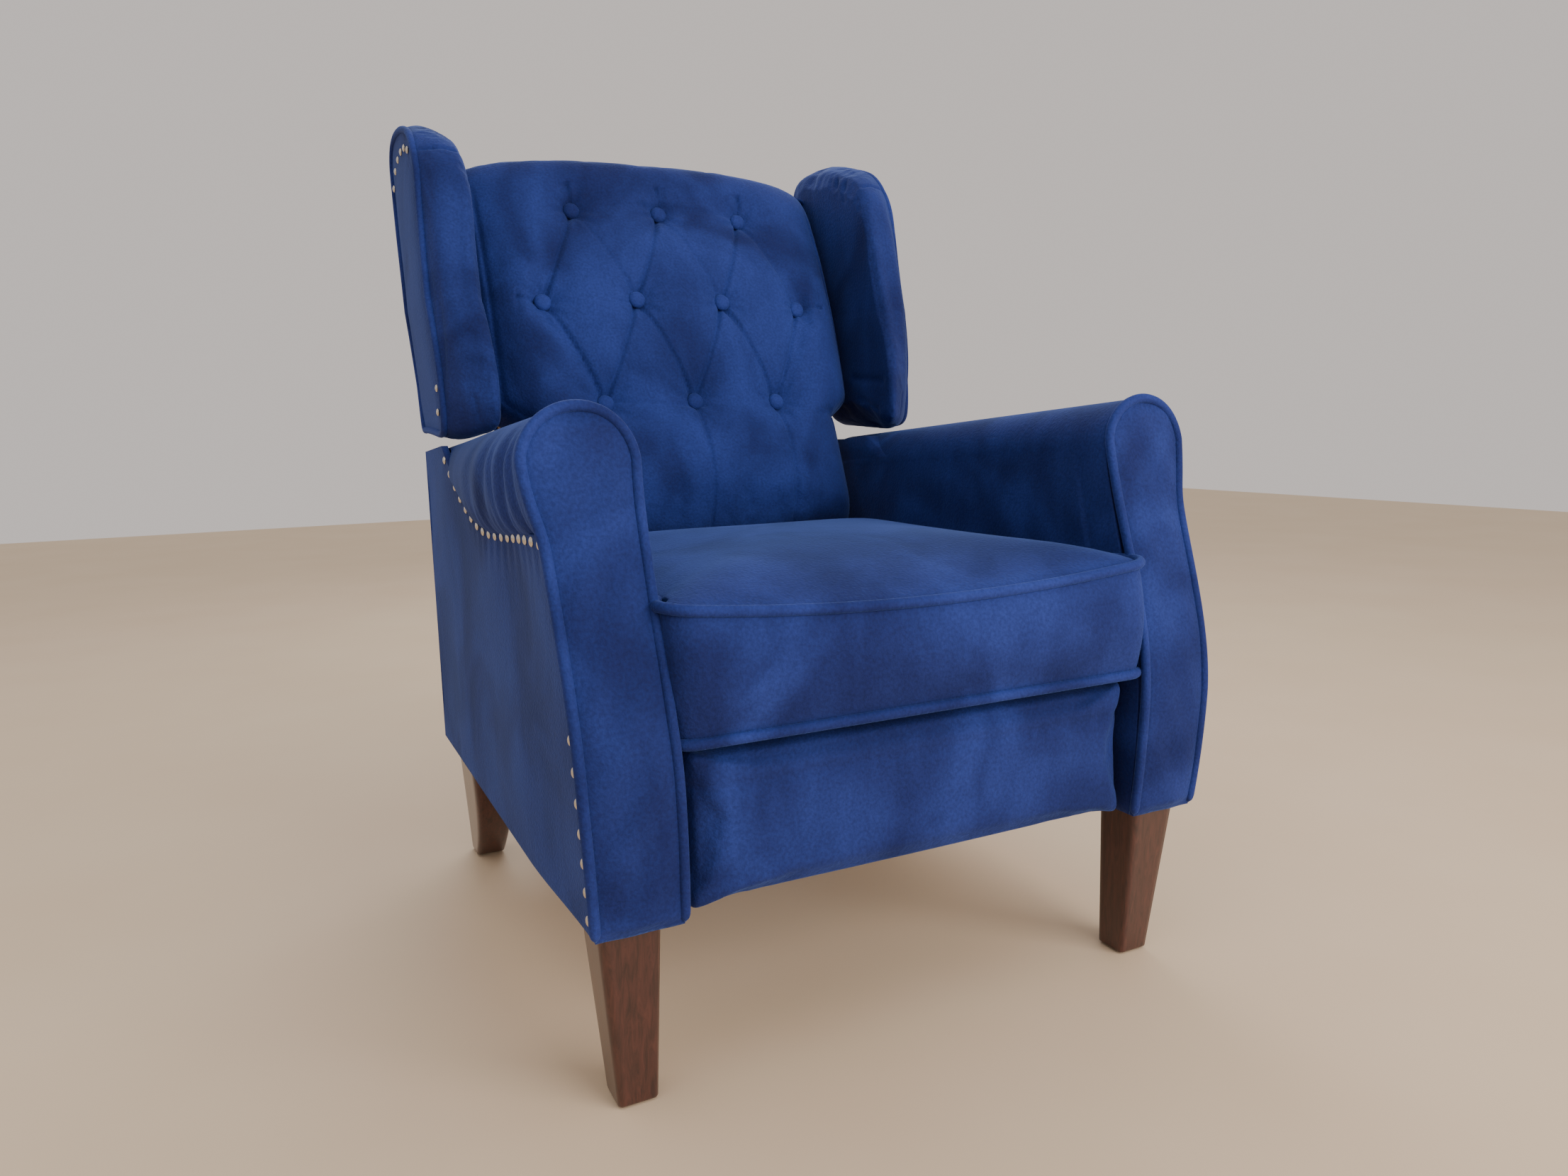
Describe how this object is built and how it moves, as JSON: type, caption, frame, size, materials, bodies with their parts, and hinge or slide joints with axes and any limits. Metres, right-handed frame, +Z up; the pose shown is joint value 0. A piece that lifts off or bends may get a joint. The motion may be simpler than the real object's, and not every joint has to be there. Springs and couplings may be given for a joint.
{
  "type": "recliner armchair",
  "caption": "Wingback push-back recliner armchair with rolled arms, a buttoned reclining back, a gliding seat and a fold-out footrest.",
  "frame": {"origin": "on the floor under the middle of the closed chair", "axes": "+Z up; the sitter faces -Y; +X is the sitter's left"},
  "size_m": [0.715, 0.8408, 0.982],
  "materials": {
    "velvet": "royal blue short-pile polyester velvet",
    "frame_wood": "bare plywood and softwood rails",
    "leg_wood": "dark mahogany stain under satin lacquer",
    "nail_metal": "satin nickel domed upholstery nails",
    "mechanism_steel": "black powder-coated steel strip",
    "zinc_steel": "bright zinc-plated steel",
    "spring_steel": "oiled sinuous spring wire",
    "webbing": "woven elastic upholstery webbing",
    "glide_nylon": "moulded nylon"
  },
  "bodies": {
    "base": {"left_side_board": "frame_wood", "right_side_board": "frame_wood", "left_front_board": "frame_wood", "right_front_board": "frame_wood", "bottom_rails": "frame_wood", "arm_rails": "frame_wood", "left_arm_pad": "velvet", "right_arm_pad": "velvet", "left_front_facing": "velvet", "right_front_facing": "velvet", "left_side_cover": "velvet", "right_side_cover": "velvet", "arm_nailheads": "nail_metal", "cross_rail": "frame_wood", "rear_rail": "frame_wood", "base_back_cover": "velvet", "left_front_leg": "leg_wood", "right_front_leg": "leg_wood", "left_rear_leg": "leg_wood", "right_rear_leg": "leg_wood", "leg_bolts": "zinc_steel", "leg_glides": "glide_nylon", "base_plates": "mechanism_steel", "mechanism_bolts": "zinc_steel"},
    "front_glide": {"front_links": "mechanism_steel", "front_shaft": "zinc_steel"},
    "rear_glide": {"rear_links": "mechanism_steel", "rear_shaft": "zinc_steel"},
    "seat": {"left_seat_plate": "mechanism_steel", "right_seat_plate": "mechanism_steel", "left_seat_rail": "frame_wood", "right_seat_rail": "frame_wood", "front_seat_rail": "frame_wood", "rear_seat_rail": "frame_wood", "seat_springs": "spring_steel", "seat_cushion": "velvet"},
    "backrest": {"back_stiles": "frame_wood", "back_top_rail": "frame_wood", "back_wing_rail": "frame_wood", "back_bottom_rail": "frame_wood", "back_straps": "webbing", "back_cushion": "velvet", "back_cover": "velvet", "back_buttons": "velvet", "wing_boards": "frame_wood", "left_wing_pad": "velvet", "right_wing_pad": "velvet", "left_wing_cover": "velvet", "right_wing_cover": "velvet", "wing_nailheads": "nail_metal", "back_brackets": "mechanism_steel"},
    "foot_cranks": {"foot_front_links": "mechanism_steel"},
    "foot_pairs": {"foot_rear_links": "mechanism_steel"},
    "foot_arms": {"foot_long_links": "mechanism_steel"},
    "foot_stay_pair": {"foot_stays": "mechanism_steel"},
    "footrest": {"foot_brackets": "mechanism_steel", "footrest_board": "frame_wood", "footrest_pad": "velvet"}
  },
  "joints": [
    {"name": "glide_swing", "type": "hinge", "parent": "base", "child": "front_glide", "pos_m": [0, -0.10394, 0.224], "axis": [1, 0, 0], "range_deg": [0, 45]},
    {"name": "seat_level", "type": "hinge", "parent": "front_glide", "child": "seat", "pos_m": [0, -0.026, 0.269], "axis": [1, 0, 0], "range_deg": [-46, 0]},
    {"name": "rear_glide_swing", "type": "hinge", "parent": "base", "child": "rear_glide", "pos_m": [0, 0.10206, 0.224], "axis": [1, 0, 0], "range_deg": [0, 46]},
    {"name": "back_recline", "type": "hinge", "parent": "seat", "child": "backrest", "pos_m": [0, 0.21, 0.4], "axis": [-1, 0, 0], "range_deg": [0, 33]},
    {"name": "footrest_swing", "type": "hinge", "parent": "seat", "child": "foot_cranks", "pos_m": [0, -0.262, 0.262], "axis": [-1, 0, 0], "range_deg": [0, 155]},
    {"name": "foot_pair_swing", "type": "hinge", "parent": "seat", "child": "foot_pairs", "pos_m": [0, -0.202, 0.262], "axis": [-1, 0, 0], "range_deg": [0, 156]},
    {"name": "foot_knee", "type": "hinge", "parent": "foot_cranks", "child": "foot_arms", "pos_m": [0, -0.12062, 0.19607], "axis": [-1, 0, 0], "range_deg": [-156, 0]},
    {"name": "footrest_tilt", "type": "hinge", "parent": "foot_arms", "child": "footrest", "pos_m": [0, -0.328, 0.258], "axis": [-1, 0, 0], "range_deg": [0, 91]},
    {"name": "foot_stay_turn", "type": "hinge", "parent": "foot_pairs", "child": "foot_stay_pair", "pos_m": [0, -0.05373, 0.21051], "axis": [-1, 0, 0], "range_deg": [-165, 0]}
  ],
  "couplings": [
    {"joint": "seat_level", "follows": "glide_swing", "ratio": -1},
    {"joint": "rear_glide_swing", "follows": "glide_swing", "ratio": 1},
    {"joint": "back_recline", "follows": "glide_swing", "ratio": 0.71111},
    {"joint": "foot_pair_swing", "follows": "footrest_swing", "ratio": 1},
    {"joint": "foot_knee", "follows": "footrest_swing", "ratio": -1},
    {"joint": "footrest_tilt", "follows": "footrest_swing", "ratio": 0.58064},
    {"joint": "foot_stay_turn", "follows": "footrest_swing", "ratio": -1.039}
  ]
}
